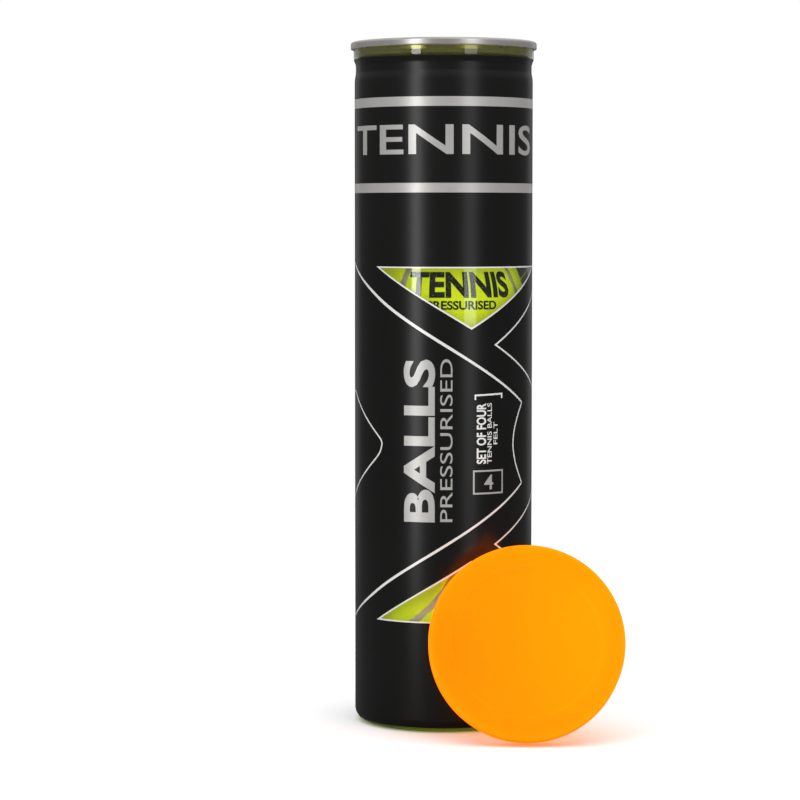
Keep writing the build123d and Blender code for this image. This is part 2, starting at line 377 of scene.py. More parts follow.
# %% Inks
def make_ink(name, color, metallic, roughness, coat_roughness, gloss):
    """Ink seen through the film: its own colour and sheen under a clear coat."""
    material, tree, output = new_material(name)
    shader = add(
        tree,
        "ShaderNodeBsdfPrincipled",
        in_Metallic=metallic,
        in_Specular_IOR_Level=gloss,
        in_Coat_Weight=1.0,
        in_Coat_Roughness=coat_roughness,
        in_Coat_IOR=1.5,
    )
    cloud = object_noise(tree, in_Scale=420.0, in_Detail=4.0)
    dark = [c * 0.96 for c in color]
    light = [min(1, c * 1.04) for c in color]
    tree.links.new(tones(tree, cloud.outputs["Fac"], dark, light), shader.inputs["Base Color"])
    tree.links.new(smudged(tree, 45.0, roughness, roughness + 0.08), shader.inputs["Roughness"])
    tree.links.new(place_grain(tree, 30.0, 700.0, 0.05, 0.12, 0.0008), shader.inputs["Normal"])
    tree.links.new(shader.outputs["BSDF"], output.inputs["Surface"])
    return material


black_ink = make_ink("Black ink", (0.0035, 0.0035, 0.0032), 0.0, 0.4, 0.28, 0.0)
silver_ink = make_ink("Silver ink", (0.66, 0.65, 0.63), 0.66, 0.38, 0.22, 0.5)
pale_ink = make_ink("Pale ink", (0.84, 0.83, 0.81), 0.3, 0.36, 0.22, 0.5)
print(black_ink.name, silver_ink.name, pale_ink.name)

# %% [markdown]
# ## Sheet metal
#
# The end and the ring pull are pressed from rolled sheet. Rolling leaves faint streaks, so a noise
# that is squeezed along one axis moves the roughness and a very fine bump. The side that faces the
# balls is lacquered, which is the same finish in another tone. That yellow-green tone is a gold
# lacquer with a painted reflection of the yellow balls mixed into its colour.


# %% Rolled bright metal
def make_metal(name, color, roughness, streak_scale, anisotropy):
    """Bright sheet metal with the faint streaks that rolling and turning leave."""
    material, tree, output = new_material(name)
    where = add(tree, "ShaderNodeTexCoord")
    stretch = add(tree, "ShaderNodeMapping", in_Scale=(0.15, 0.15, 6.0))
    streak = add(tree, "ShaderNodeTexNoise", in_Scale=streak_scale, in_Detail=6.0)
    marks = add(tree, "ShaderNodeGroup", node_tree=marks_group)
    marks.inputs["Smudge scale"].default_value = 55.0
    shader = add(tree, "ShaderNodeBsdfPrincipled", in_Metallic=0.88, in_Anisotropic=anisotropy)
    dulled = [c * 0.82 for c in color]
    bump = add(tree, "ShaderNodeBump", in_Strength=0.18, in_Distance=0.00012)
    sheen = between(tree, streak.outputs["Fac"], roughness - 0.04, roughness + 0.08)
    tree.links.new(where.outputs["Object"], stretch.inputs["Vector"])
    tree.links.new(stretch.outputs["Vector"], streak.inputs["Vector"])
    tree.links.new(tones(tree, marks.outputs["Smudges"], color, dulled), shader.inputs["Base Color"])
    tree.links.new(sheen, shader.inputs["Roughness"])
    tree.links.new(streak.outputs["Fac"], bump.inputs["Height"])
    tree.links.new(bump.outputs["Normal"], shader.inputs["Normal"])
    tree.links.new(shader.outputs["BSDF"], output.inputs["Surface"])
    return material


end_metal = make_metal("End metal", (0.8, 0.78, 0.75), 0.24, 90.0, 0.3)
# Gold lacquer whose yellow-green tone is partly a painted reflection of the yellow balls.
lacquer_and_ball_reflection = make_metal("Lacquer and painted ball reflection", (0.44, 0.43, 0.11), 0.2, 90.0, 0.0)
tab_metal = make_metal("Tab metal", (0.8, 0.8, 0.79), 0.24, 60.0, 0.2)
print(end_metal.name, lacquer_and_ball_reflection.name, tab_metal.name)

# %% [markdown]
# ## Orange plastic
#
# The lid is thin and dyed in the mass, so light that falls on one side also shows on the other. A
# translucent shader carries that light, and a plain one gives the skin. A small emission in the skin
# is a painted glow that makes the orange brighter than its lamps alone would.


# %% Translucent orange plastic
def make_lid_plastic():
    """Soft moulded plastic that glows where light comes through it, with a painted glow over it all."""
    material, tree, output = new_material("Lid plastic")
    cloud = object_noise(tree, in_Scale=28.0, in_Detail=3.0)
    # The skin's emission is a painted glow: the lid is no lamp.
    skin = add(
        tree,
        "ShaderNodeBsdfPrincipled",
        in_IOR=1.5,
        in_Specular_IOR_Level=0.15,
        in_Emission_Color=(1.0, 0.16, 0.0, 1),
        in_Emission_Strength=1.3,
    )
    glow = add(tree, "ShaderNodeBsdfTranslucent", in_Color=(1.0, 0.7, 0.0, 1))
    mix = add(tree, "ShaderNodeMixShader", in_Fac=0.74)
    orange = tones(tree, cloud.outputs["Fac"], (1.0, 0.26, 0.0), (1.0, 0.33, 0.0))
    tree.links.new(orange, skin.inputs["Base Color"])
    tree.links.new(smudged(tree, 40.0, 0.34, 0.46), skin.inputs["Roughness"])
    tree.links.new(place_grain(tree, 60.0, 1400.0, 0.3, 0.15, 0.0004), skin.inputs["Normal"])
    tree.links.new(skin.outputs["BSDF"], mix.inputs[1])
    tree.links.new(glow.outputs["BSDF"], mix.inputs[2])
    tree.links.new(mix.outputs["Shader"], output.inputs["Surface"])
    return material


lid_plastic = make_lid_plastic()
print(lid_plastic.name)

# %% [markdown]
# ## Felt, rubber and print
#
# Felt, cement, rubber, print and sealing compound are all matt, and differ in tone, in how coarse
# their grain is, and in how much soft sheen their fibres give. One function makes them all. The
# felt also has a small emission, a painted glow that keeps it bright where the film shades it.


# %% Matt finishes
def make_matt(name, dark, light, scale, roughness, sheen, bump_distance, glow=0.0):
    """A matt finish whose colour drifts between two tones, with a nap of fine noise."""
    material, tree, output = new_material(name)
    cloud = object_noise(tree, in_Scale=scale, in_Detail=6.0, in_Roughness=0.7)
    spread = ramp(tree, cloud.outputs["Fac"], 0.3, 0.7)
    # The emission paints a glow in the light tone, as strong as the glow amount; only the felt uses it.
    shader = add(
        tree,
        "ShaderNodeBsdfPrincipled",
        in_Specular_IOR_Level=0.15,
        in_Sheen_Weight=sheen,
        in_Sheen_Roughness=0.6,
        in_Sheen_Tint=(*light, 1),
        in_Emission_Color=(*light, 1),
        in_Emission_Strength=glow,
    )
    tree.links.new(tones(tree, spread, dark, light), shader.inputs["Base Color"])
    tree.links.new(smudged(tree, 35.0, roughness - 0.06, roughness), shader.inputs["Roughness"])
    tree.links.new(place_grain(tree, 900.0, 3200.0, 0.5, 0.7, bump_distance), shader.inputs["Normal"])
    tree.links.new(shader.outputs["BSDF"], output.inputs["Surface"])
    return material


# The felt's last value, 0.32, is a painted glow that keeps it bright inside the shaded can.
felt_nap = make_matt("Felt", (0.6, 0.74, 0.001), (0.78, 0.9, 0.002), 700.0, 0.98, 0.2, 0.0005, 0.32)
seam_cement = make_matt("Seam cement", (0.62, 0.58, 0.42), (0.78, 0.74, 0.6), 300.0, 0.8, 0.0, 0.0002)
ball_print = make_matt("Ball print", (0.006, 0.007, 0.004), (0.02, 0.022, 0.01), 900.0, 0.9, 0.1, 0.0003)
core_rubber = make_matt("Core rubber", (0.03, 0.028, 0.025), (0.06, 0.055, 0.05), 200.0, 0.75, 0.0, 0.0002)
seal_compound = make_matt("Sealing compound", (0.5, 0.48, 0.42), (0.62, 0.6, 0.54), 260.0, 0.6, 0.0, 0.0001)
print("materials", len(bpy.data.materials))

# %% [markdown]
# ## Camera and light
#
# The camera stands over a metre away with a long lens, a little below the rim, so the can's sides
# stay nearly upright and its mouth is seen edge on. Two tall soft lights either side of the camera
# leave the two upright highlights on the film, and a broad light overhead whitens the floor. Black
# film mirrors whatever stands round it, so the walls and the floor are dimmer for reflected rays.

# %% The camera
CAMERA_DISTANCE = 1.142
CAMERA_HEIGHT = 0.207
CAMERA_PITCH = math.radians(3.73)
CAMERA_YAW = math.radians(0.9)
LENS = 124.5

camera_data = bpy.data.cameras.new("Camera")
camera_data.lens = LENS
camera_data.sensor_width = 36.0
camera_data.clip_start = 0.05
camera_data.clip_end = 60.0
camera = bpy.data.objects.new("Camera", camera_data)
camera.location = (0, -CAMERA_DISTANCE, CAMERA_HEIGHT)
camera.rotation_euler = (math.pi / 2 - CAMERA_PITCH, 0, CAMERA_YAW)
bpy.context.scene.collection.objects.link(camera)
bpy.context.scene.camera = camera
print("camera lens", LENS)


# %% The lights
LIGHT_AIM = Vector((0, 0, 0.13))  # near the middle of the can


def soft_light(name, azimuth, distance, height, size, power):
    """A rectangular light at an azimuth from the viewer's side, facing the can."""
    data = bpy.data.lights.new(name, "AREA")
    data.shape = "RECTANGLE"
    data.size, data.size_y = size
    data.energy = power
    light = bpy.data.objects.new(name, data)
    angle = math.radians(azimuth)
    light.location = (distance * math.sin(angle), -distance * math.cos(angle), height)
    light.rotation_euler = (LIGHT_AIM - light.location).to_track_quat("-Z", "Y").to_euler()
    bpy.context.scene.collection.objects.link(light)
    return light


soft_light("Key left", -35, 1.5, 0.45, (0.32, 1.5), 4.8)
soft_light("Key right", 34.5, 1.5, 0.45, (0.44, 1.5), 2.2)
overhead = soft_light("Overhead", 0, 0.25, 1.9, (2.4, 2.4), 30)
overhead.visible_glossy = False  # the studio's bright ceiling is what shows in the metal
soft_light("Edge left", -150, 1.3, 0.4, (0.5, 1.4), 0.4)
soft_light("Edge right", 150, 1.3, 0.4, (0.5, 1.4), 0.4)
bpy.context.scene.view_settings.view_transform = "Standard"
print("lights", len(bpy.data.lights))


# %% The surroundings
def make_surroundings():
    """A white studio for the eye and for soft light. In reflections its walls are dim and its
    ceiling is lit."""
    world = bpy.data.worlds.new("Studio")
    world.use_nodes = True
    tree = world.node_tree
    tree.nodes.clear()
    output = tree.nodes.new("ShaderNodeOutputWorld")
    path = tree.nodes.new("ShaderNodeLightPath")
    shade = add(tree, "ShaderNodeBackground", in_Color=(1, 1, 1, 1))
    seen = add(tree, "ShaderNodeMix", data_type="FLOAT")
    seen.inputs["B"].default_value = 1.0
    mirrored_light = add(tree, "ShaderNodeMix", data_type="FLOAT")
    mirrored_light.inputs["A"].default_value = 0.75
    where = add(tree, "ShaderNodeTexCoord")
    split = add(tree, "ShaderNodeSeparateXYZ")
    tree.links.new(where.outputs["Generated"], split.inputs["Vector"])
    tree.links.new(between(tree, split.outputs["Z"], 0.1, 0.6), mirrored_light.inputs["B"])
    tree.links.new(path.outputs["Is Glossy Ray"], mirrored_light.inputs["Factor"])
    tree.links.new(path.outputs["Is Camera Ray"], seen.inputs["Factor"])
    tree.links.new(mirrored_light.outputs["Result"], seen.inputs["A"])
    tree.links.new(seen.outputs["Result"], shade.inputs["Strength"])
    tree.links.new(shade.outputs["Background"], output.inputs["Surface"])
    bpy.context.scene.world = world


make_surroundings()


# %% The floor
def make_floor_material():
    """Pale paper that fades out towards the floor's edge, so that no horizon line shows."""
    material, tree, output = new_material("Floor paper")
    where = add(tree, "ShaderNodeTexCoord")
    reach = add(tree, "ShaderNodeVectorMath", operation="LENGTH")
    fade = add(tree, "ShaderNodeMapRange", interpolation_type="SMOOTHSTEP")
    fade.inputs["From Min"].default_value = 0.35
    fade.inputs["From Max"].default_value = 0.95
    path = add(tree, "ShaderNodeLightPath")
    tone = add(tree, "ShaderNodeMix", data_type="RGBA")
    tone.inputs["A"].default_value = (0.93, 0.93, 0.93, 1)
    tone.inputs["B"].default_value = (0.1, 0.1, 0.1, 1)
    paper = add(tree, "ShaderNodeBsdfDiffuse")
    tree.links.new(path.outputs["Is Glossy Ray"], tone.inputs["Factor"])
    tree.links.new(tone.outputs["Result"], paper.inputs["Color"])
    gone = add(tree, "ShaderNodeBsdfTransparent")
    mix = add(tree, "ShaderNodeMixShader")
    tree.links.new(where.outputs["Object"], reach.inputs[0])
    tree.links.new(reach.outputs["Value"], fade.inputs["Value"])
    tree.links.new(fade.outputs["Result"], mix.inputs["Fac"])
    tree.links.new(paper.outputs["BSDF"], mix.inputs[1])
    tree.links.new(gone.outputs["BSDF"], mix.inputs[2])
    tree.links.new(mix.outputs["Shader"], output.inputs["Surface"])
    return material


floor_mesh = bpy.data.meshes.new("Floor")
floor_mesh.from_pydata([(-1, -1, 0), (1, -1, 0), (1, 1, 0), (-1, 1, 0)], [], [(0, 1, 2, 3)])
floor_mesh.materials.append(make_floor_material())
floor = bpy.data.objects.new("Floor", floor_mesh)
floor.location.z = -0.05 * MM
bpy.context.scene.collection.objects.link(floor)
floor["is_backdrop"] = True

# %% [markdown]
# ## The clear tube
#
# The real tube is blown from one blank, so its base, body, neck and turned-out flange are a single
# wall of even thickness. The same is done here: one line down the outside is rounded at each
# corner, thickened inwards, and spun.


# %% Outline of the tube's outside
BAND_HEIGHT = 3.6 * MM
NECK_RADIUS = tube_radius - 0.5 * MM
band_bottom = seam_bottom - BAND_HEIGHT
neck_top = band_bottom - 2.8 * MM
neck_bottom = neck_top - 3.3 * MM
body_top = neck_bottom - 2.6 * MM
DOME_RISE = 4.0 * MM
heel_radius = tube_radius - foot_corner - 1.5 * MM


def neck_corners(extra):
    """The corners from the body up to the mouth band, pushed out by an extra radius."""
    return [
        (tube_radius + extra, body_top),
        (NECK_RADIUS + extra, neck_bottom),
        (NECK_RADIUS + extra, neck_top),
        (mouth_radius + extra, band_bottom),
    ]


# %% The tube
flange_z = can_top - SHEET - TUBE_WALL
tube_corners = [
    (0, DOME_RISE),
    (heel_radius - 6.4 * MM, DOME_RISE),
    (heel_radius - 2.4 * MM, 2.6 * MM),
    (heel_radius, 0),
    (tube_radius, 0),
    *neck_corners(0),
    (mouth_radius, flange_z),
    (mouth_radius + SHEET, flange_z),
    (mouth_radius + SHEET, flange_z - 1.5 * MM),
]
tube_rounds = [0, 12, 2.5, 0.9, 5.25, 12, 3, 3, 2, 0.1, 0.1, 0]
tube_line = rounded(tube_corners, [r * MM for r in tube_rounds])
tube_mesh = turned("tube_body", wall(tube_line, TUBE_WALL), around=192)
place("tube_body", tube_mesh, "can", ["tube"], [clear_tube])

# %% [markdown]
# ## The printed film
#
# The film is printed flat and then shrunk on, so the artwork is laid out flat here too: angle round
# the can along one axis and height up the other. A constrained triangulation cuts the flat sheet
# along every line of the artwork, each patch is given its ink or left clear, and the sheet is then
# wrapped on to the tube. Real cut edges stay sharp at any distance, which no pattern made of noise
# could do.


# %% Where the film lies
FILM_INSIDE = 0.17 * MM
film_bottom = film_low.z
film_top = band_bottom - 0.5 * MM
neck_line = rounded(
    [(film_radius, foot_corner), *neck_corners(FILM)], [0, 12 * MM, 3 * MM, 3 * MM, 0], steps=10
)


def film_at(height, inset=0.0):
    """(radius, slope of the radius) of the film's outside at a height."""
    if height < foot_corner:
        corner = foot_corner + FILM
        drop = min(foot_corner - height, corner * 0.999)
        across = math.sqrt(corner**2 - drop**2)
        return tube_radius - foot_corner + across - inset, drop / across
    for (r0, z0), (r1, z1) in zip(neck_line, neck_line[1:]):
        if height <= z1 + 1e-9 and z1 > z0:
            slope = (r1 - r0) / (z1 - z0)
            return r0 + slope * (height - z0) - inset, slope
    return neck_line[-1][0] - inset, 0.0


# %% Flat artwork: strokes and patches
artwork = []  # (corners in millimetres on the flat film, ink)
INK_SLOTS = {"black": 0, "clear": 1, "silver": 2, "pale": 3}  # a later ink covers an earlier one
DEGREE = film_radius / MM * math.pi / 180  # millimetres round the film for each degree


def patch(corners, ink):
    """A filled shape, given as (degrees round the can, height in millimetres)."""
    artwork.append(([(a * DEGREE, z) for a, z in corners], ink))


def smooth_path(points, steps=8):
    """A curve through the points, as (degrees, millimetres)."""
    p = [Vector(q) for q in (points[0], *points, points[-1])]
    path = []
    for a, b, c, d in zip(p, p[1:], p[2:], p[3:]):
        for step in range(steps):
            t = step / steps
            bend = (2 * a - 5 * b + 4 * c - d) * t**2
            twist = (3 * b - a - 3 * c + d) * t**3
            path.append(0.5 * (2 * b + (c - a) * t + bend + twist))
    return [tuple(q) for q in path] + [tuple(p[-1])]


def stroke(points, width, ink="pale", closed=False, swell=0.0):
    """A line along (degrees, millimetres) points, with mitred corners. A swell widens its middle."""
    flat = [Vector((a * DEGREE, z)) for a, z in points]
    count = len(flat)
    sides = []
    for i, here in enumerate(flat):
        before = flat[i - 1] if i or closed else None
        after = flat[(i + 1) % count] if i < count - 1 or closed else None
        back = (here - before).normalized() if before is not None else None
        ahead = (after - here).normalized() if after is not None else None
        back, ahead = back or ahead, ahead or back
        left = Vector((-(back + ahead).y, (back + ahead).x)).normalized()
        here_width = width + swell * math.sin(math.pi * i / (count - 1))
        reach = here_width / 2 / max(0.35, left.dot(Vector((-back.y, back.x))))
        sides.append((here + left * reach, here - left * reach))
    following = sides[1:] + sides[:1] if closed else sides[1:]
    for (a, b), (c, d) in zip(sides, following):
        artwork.append(([tuple(a), tuple(b), tuple(d), tuple(c)], ink))


def letter_mesh(words, bold):
    """A flat mesh of plain letters in Blender's own typeface, thickened by the bold amount."""
    curve = bpy.data.curves.new("letters", "FONT")
    curve.body = words
    curve.offset = bold
    curve.resolution_u = 5
    holder = bpy.data.objects.new("letters", curve)
    bpy.context.scene.collection.objects.link(holder)
    bpy.context.view_layer.update()
    mesh = bpy.data.meshes.new_from_object(holder.evaluated_get(bpy.context.evaluated_depsgraph_get()))
    bpy.data.objects.remove(holder)
    bpy.data.curves.remove(curve)
    return mesh


def lettering(words, centre, size, bold=0.0, upright=True, ink="silver"):
    """Plain letters of size (length, height) in millimetres, centred at (degrees, millimetres)."""
    mesh = letter_mesh(words, bold)
    points = np.array([v.co[:2] for v in mesh.vertices])
    low, high = points.min(axis=0), points.max(axis=0)
    points = (points - (low + high) / 2) / (high - low) * np.array(size)
    if not upright:
        points = np.stack([-points[:, 1], points[:, 0]], axis=1)
    points += np.array([centre[0] * DEGREE, centre[1]])
    for polygon in mesh.polygons:
        artwork.append(([tuple(points[i]) for i in polygon.vertices], ink))
    bpy.data.meshes.remove(mesh)


# %% [markdown]
# ## The layout of one face
#
# The real film shows the same face twice round the can, so one face is drawn here as a function of
# its turn. Its windows and fine lines are the same above and below one middle height, so only the
# upper half is given, and the lower half is its reflection. Places are degrees round the can from
# the middle of the face, and millimetres above the floor.

# %% Draw one face of the film
LINE = 0.68
MIRROR_Z = 115.1
WINDOW_TOP = 186.0
APEX = (18.0, 161.7)
STRIPES = ((215.7, 219.5), (249.8, 253.6))


def mirrored(points):
    """The same points reflected about the art's middle height."""
    return [(a, 2 * MIRROR_Z - z) for a, z in points]


def draw_face(turn):
    """The windows, fine lines and words of one face, turned round the can by an angle."""

    def at(points):
        return [(a + turn, z) for a, z in points]

    window = [(-46, WINDOW_TOP), APEX, (82, WINDOW_TOP)]
    for shape in (window, mirrored(window)):
        patch(at(shape), "clear")
        stroke(at(shape), LINE * 1.1, closed=True)
    sweep = smooth_path([(-82, 187.5), (-56.6, 178.2), (-32.6, 168.4), (18.4, 148.3), (60.5, 131.5)])
    waist = smooth_path([(60.5, 131.3), (53.5, 123.5), (50.5, MIRROR_Z), (53.5, 106.7), (60.5, 98.9)], 5)
    stroke(at(sweep), LINE, swell=0.55)
    stroke(at(waist), LINE)
    stroke(at(mirrored(sweep)), LINE, swell=0.4)
    hook = [(98, 187.5), (86, 176.3), (35, 155.1), (86, 135.8)]
    stroke(at(hook + [(102, 135)]), LINE)
    stroke(at(mirrored(hook) + [(96, 91.5)]), LINE)
    tip = (-42.7, 115.1)
    to_tip = smooth_path([(-78, 135), (-66, 128.8), (-52, 121.5), (-44.2, 117.2), tip], 5)
    from_tip = smooth_path([tip, (-45.5, 111), (-56, 105.2), (-70, 98.4), (-84, 91.5)], 5)
    stroke(at(to_tip + from_tip[1:]), LINE)
    lettering("TENNIS", (turn, 236.7), (94, 12.0), bold=0.012)
    lettering("BALLS", (-15.5 + turn, 117.0), (65.0, 13.2), bold=0.03, upright=False)
    lettering("PRESSURISED", (1.9 + turn, 117.2), (65.0, 5.0), upright=False)
    lettering("SET OF FOUR", (24.8 + turn, 119.8), (24.3, 4.3), bold=0.03, upright=False, ink="pale")
    lettering("TENNIS BALLS", (30.6 + turn, 119.8), (24.3, 2.1), bold=0.01, upright=False, ink="pale")
    lettering("FELT", (35.1 + turn, 119.8), (9.0, 1.9), bold=0.01, upright=False, ink="pale")
    badge = [(19.6, 95.8), (40.6, 95.8), (40.6, 104.8), (19.6, 104.8)]
    stroke(at(badge), 0.7, ink="silver", closed=True)
    lettering("4", (30.1 + turn, 100.3), (4.2, 6.0), bold=0.01)
    stroke(at([(20.6, 133.3), (20.6, 135.1), (40.0, 135.5), (40.0, 133.7)]), 0.7)


for half_turn in (0, 180):
    draw_face(half_turn)
for low, high in STRIPES:
    patch([(-180, low), (180, low), (180, high), (-180, high)], "silver")
print("artwork shapes", len(artwork))


# %% Divide long edges
def divided(corners, longest=1.5):
    """The same outline with every long edge divided, so that it can bend round the can."""
    points = []
    for here, after in zip(corners, corners[1:] + corners[:1]):
        parts = max(1, math.ceil(abs(after[0] - here[0]) / longest))
        for part in range(parts):
            share = part / parts
            points.append((here[0] + (after[0] - here[0]) * share, here[1] + (after[1] - here[1]) * share))
    return points


# %% Bring the artwork into one turn
ART_STRETCH = 1.0075  # fits the heights of the layout to the can's own height
ART_LIFT = 0.5  # millimetres that the whole layout then moves up


def clipped(corners, limit, keep_low):
    """The part of an outline on one side of an upright line."""
    kept = []
    for here, after in zip(corners, corners[1:] + corners[:1]):
        inside = here[0] <= limit if keep_low else here[0] >= limit
        crosses = (here[0] - limit) * (after[0] - limit) < 0
        if inside:
            kept.append(here)
        if crosses:
            share = (limit - here[0]) / (after[0] - here[0])
            kept.append((limit, here[1] + (after[1] - here[1]) * share))
    return kept


def wrap_artwork(shapes):
    """Shapes past the back of the can come back in on the other side."""
    half = 180 * DEGREE
    whole = []
    for corners, ink in shapes:
        corners = [(u, z * ART_STRETCH + ART_LIFT) for u, z in corners]
        low = min(u for u, _ in corners)
        high = max(u for u, _ in corners)
        if low >= half:
            whole.append(([(u - 2 * half, z) for u, z in corners], ink))
        elif high <= half:
            whole.append((corners, ink))
        else:
            over = [(u - 2 * half, z) for u, z in clipped(corners, half, False)]
            whole += [(clipped(corners, half, True), ink), (over, ink)]
    return whole


# %% Cut the flat film
def cut_film():
    """Triangles of the flat film with an ink for each: (points, faces, inks)."""
    half = 180 * DEGREE
    bottom, top = film_bottom / MM, film_top / MM
    heights = [bottom + (foot_corner / MM - bottom) * k / 8 for k in range(8)]
    heights += list(np.arange(foot_corner / MM, body_top / MM - 1.0, 5.0))
    heights += list(np.linspace(body_top / MM - 1.0, top, 26))
    columns = np.linspace(-half, half, 145)
    points = [(u, z) for z in heights for u in columns]
    faces, inks = [], []
    frame_loop = [(-half, bottom), (half, bottom), (half, top), (-half, top)]
    for corners, ink in [(frame_loop, "black")] + wrap_artwork(artwork):
        area = sum(a[0] * b[1] - b[0] * a[1] for a, b in zip(corners, corners[1:] + corners[:1]))
        if abs(area) < 1e-4:
            continue
        if area < 0:
            corners = corners[::-1]
        corners = divided(corners)
        faces.append(list(range(len(points), len(points) + len(corners))))
        points += corners
        inks.append(ink)
    flat = [Vector(p) for p in points]
    result = delaunay_2d_cdt(flat, [], faces, 0, 1e-5, True)
    new_points, new_faces, sources = result[0], result[2], result[5]
    kept, kept_inks = [], []
    for face, source in zip(new_faces, sources):
        found = [inks[s] for s in source]
        if not found:
            continue
        kept.append(face)
        kept_inks.append(max(found, key=INK_SLOTS.get))
    return [tuple(p) for p in new_points], kept, kept_inks


# %% Wrap the cut film on to the tube
def wrap_film():
    """The printed film as one piece with an outside, an inside and exact smooth normals."""
    flat, faces, inks = cut_film()
    points, normals = [], []
    for inset, sign in ((0.0, 1), (FILM_INSIDE, -1)):
        for u, z in flat:
            angle = u / DEGREE * math.pi / 180
            radius, slope = film_at(z * MM, inset)
            outward = Vector((math.sin(angle), -math.cos(angle), 0))
            points.append(outward * radius + Vector((0, 0, z * MM)))
            normals.append(sign * (outward - Vector((0, 0, slope))).normalized())
    count = len(flat)
    both = [tuple(f) for f in faces] + [tuple(i + count for i in reversed(f)) for f in faces]
    mesh = bpy.data.meshes.new("sleeve_film")
    mesh.from_pydata([tuple(p) for p in points], [], both)
    mesh.polygons.foreach_set("material_index", [INK_SLOTS[i] for i in inks] * 2)
    mesh.shade_smooth()
    mesh.normals_split_custom_set_from_vertices([tuple(n) for n in normals])
    return mesh


inks = [black_ink, clear_film, silver_ink, pale_ink]
place("sleeve_film", wrap_film(), "can", ["printed_sleeve"], inks)

# %% [markdown]
# ## The metal end
#
# The end is rolled round the tube's flange in a double seam, then drops down inside the neck as the
# chuck wall and turns up again round the countersink. As on the real one, it is a single thin sheet
# from the hook inside the seam to the edge of the score.

# %% The end ring
countersink_outer = chuck_radius - 1.1 * MM
countersink_inner = countersink_outer - 0.8 * MM
panel_top = tab_low.z - 0.25 * MM
bend = 0.38 * MM
end_corners = [
    (mouth_radius, seam_bottom + 1.85 * MM),
    (mouth_radius, seam_bottom),
    (seam_radius, seam_bottom),
    (seam_radius, can_top),
    (chuck_radius, can_top),
    (chuck_radius, can_top - 4.4 * MM),
    (countersink_outer, end_low.z + SHEET),
    (countersink_inner, end_low.z + SHEET),
    (countersink_inner, panel_top),
    (panel_radius + 0.15 * MM, panel_top),
]
end_rounds = [0, bend, 0.5 * MM, 1.0 * MM, 1.0 * MM, 1.0 * MM, bend, bend, bend, 0]
end_line = rounded(end_corners, end_rounds)
END_AROUND = 192
end_mesh = turned("seamed_end", wall(end_line, SHEET), around=END_AROUND)
# The inner side of the sheet takes the lacquer, whose tone is partly a painted reflection of the balls.
for polygon in end_mesh.polygons[len(end_line) * END_AROUND :]:
    polygon.material_index = 1
place("seamed_end", end_mesh, "can", ["end_ring"], [end_metal, lacquer_and_ball_reflection])


# %% [markdown]
# ## The tear panel
#
# The panel is one sheet pressed in a die: a ring bead stiffens it, a shallow well lets a fingertip
# in under the ring, and the rivet is drawn up from the sheet itself. A fine polar grid is pushed to
# the height that the die would give at each point, which keeps the soft edges of pressed metal.


# %% Height of the pressed sheet
def smooth(value):
    """0 below 0, 1 above 1, and an even ease between."""
    value = min(1.0, max(0.0, value))
    return value * value * (3 - 2 * value)


nose_y = tab_low.y
rivet_y = nose_y + 7.6 * MM
ring_y = tab_high.y - tab_high.x
WELL_RADIUS = 7.2 * MM
well_y = ring_y - 3.6 * MM


def panel_height(x, y):
    """How far the sheet is pressed below or above its flat level at a point."""
    radius = math.hypot(x, y)
    bead = smooth(1.0 - abs(radius - 30.6 * MM) / (1.5 * MM)) * 0.42 * MM
    step = smooth((26.6 * MM - radius) / (1.2 * MM)) * 0.08 * MM
    well = smooth((WELL_RADIUS - math.hypot(x, y - well_y)) / (1.6 * MM)) * 0.26 * MM
    coin = smooth((4.6 * MM - math.hypot(x, y - rivet_y)) / (0.5 * MM)) * 0.05 * MM
    return -bead - step - well + coin


# %% The rivet's head
PANEL_SHEET = 0.25 * MM
RIVET_CORNERS = [
    (0, 0.95), (1.1, 0.95), (1.5, 0.78), (2.6, 0.78),
    (2.6, 0.36), (1.5, 0.36), (1.5, 0), (0, 0),
]
RIVET_ROUNDS = [0, 0.2, 0.3, 0.3, 0.1, 0.05, 0, 0]


def add_rivet(points, faces, around=48):
    """Adds the head of the rivet, turned about its own upright axis, to a mesh's lists."""
    outline = rounded(RIVET_CORNERS, RIVET_ROUNDS, steps=5)
    base = len(points)
    for radius, height in outline:
        for step in range(around):
            angle = 2 * math.pi * step / around
            x, y = radius * MM * math.cos(angle), radius * MM * math.sin(angle)
            points.append((x, rivet_y + y, panel_top + height * MM))
    for ring in range(len(outline) - 1):
        low = base + ring * around
        high = low + around
        for step in range(around):
            after = (step + 1) % around
            faces.append([low + after, low + step, high + step, high + after])


# %% The panel
def make_panel():
    """The pressed sheet, top and underside, with the rivet's head turned on top of it."""
    rings, around = 110, 192
    points, faces = [], []
    for drop in (0.0, PANEL_SHEET):
        base = len(points)
        points.append((0, 0, panel_top + panel_height(0, 0) - drop))
        for ring in range(1, rings + 1):
            radius = panel_radius * ring / rings
            for step in range(around):
                angle = 2 * math.pi * step / around
                x, y = radius * math.cos(angle), radius * math.sin(angle)
                points.append((x, y, panel_top + panel_height(x, y) - drop))
        flip = drop > 0
        for step in range(around):
            after = (step + 1) % around
            face = [base, base + 1 + step, base + 1 + after]
            faces.append(face[::-1] if flip else face)
            for ring in range(rings - 1):
                low = base + 1 + ring * around
                high = low + around
                face = [low + step, high + step, high + after, low + after]
                faces.append(face[::-1] if flip else face)
    top_rim = 1 + (rings - 1) * around
    under_rim = top_rim + 1 + rings * around
    for step in range(around):
        after = (step + 1) % around
        faces.append([top_rim + after, top_rim + step, under_rim + step, under_rim + after])
    add_rivet(points, faces)
    mesh = mesh_from("panel_sheet", points, faces, 40)
    for polygon in mesh.polygons:
        if polygon.normal.z < 0 and polygon.center.z < panel_top:
            polygon.material_index = 1
    return mesh


place("panel_sheet", make_panel(), "tear_panel", ["tear_panel"], [end_metal, lacquer_and_ball_reflection])


